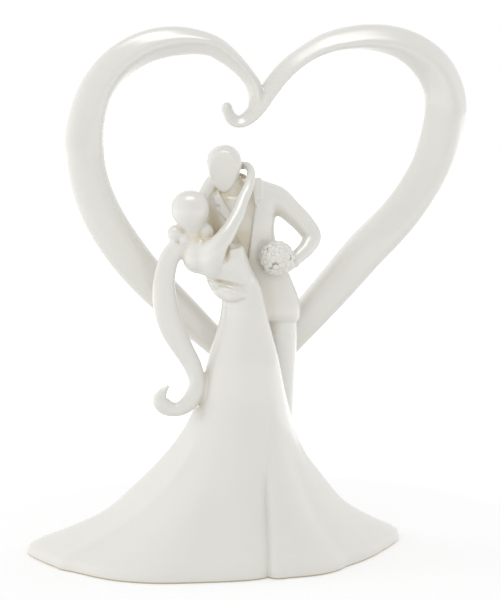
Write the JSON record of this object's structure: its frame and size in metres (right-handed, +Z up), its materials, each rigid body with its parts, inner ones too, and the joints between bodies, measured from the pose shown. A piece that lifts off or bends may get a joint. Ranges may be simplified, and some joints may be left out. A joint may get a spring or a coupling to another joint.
{
  "type": "wedding cake topper",
  "caption": "Glazed white porcelain wedding cake topper: a faceless bride and groom embrace in front of an open heart, standing on the bride's flared gown.",
  "frame": {"origin": "middle of the underside of the whole object, on the surface it stands on", "axes": "+Z up, -Y towards the viewer, +X to the viewer's right along the width of the heart"},
  "size_m": [0.1408, 0.0568, 0.1652],
  "materials": {
    "glazed_porcelain": "clear gloss glaze"
  },
  "bodies": {
    "root": {"blossom_01": "glazed_porcelain", "blossom_02": "glazed_porcelain", "blossom_03": "glazed_porcelain", "blossom_04": "glazed_porcelain", "blossom_05": "glazed_porcelain", "blossom_06": "glazed_porcelain", "blossom_07": "glazed_porcelain", "blossom_08": "glazed_porcelain", "blossom_09": "glazed_porcelain", "blossom_10": "glazed_porcelain", "blossom_11": "glazed_porcelain", "blossom_12": "glazed_porcelain", "bouquet_core": "glazed_porcelain", "bride_chest": "glazed_porcelain", "bride_head": "glazed_porcelain", "bride_left_arm": "glazed_porcelain", "bride_right_arm": "glazed_porcelain", "gown_bodice": "glazed_porcelain", "gown_skirt": "glazed_porcelain", "groom_head": "glazed_porcelain", "groom_neck": "glazed_porcelain", "hair_knot_lower": "glazed_porcelain", "hair_knot_upper": "glazed_porcelain", "heart_left": "glazed_porcelain", "heart_right": "glazed_porcelain", "jacket": "glazed_porcelain", "lapel_left": "glazed_porcelain", "lapel_right": "glazed_porcelain", "left_hand": "glazed_porcelain", "left_sleeve": "glazed_porcelain", "ponytail": "glazed_porcelain", "right_hand": "glazed_porcelain", "right_sleeve": "glazed_porcelain", "shirt_front": "glazed_porcelain", "trouser_leg_left": "glazed_porcelain", "trouser_leg_right": "glazed_porcelain"}
  },
  "joints": []
}
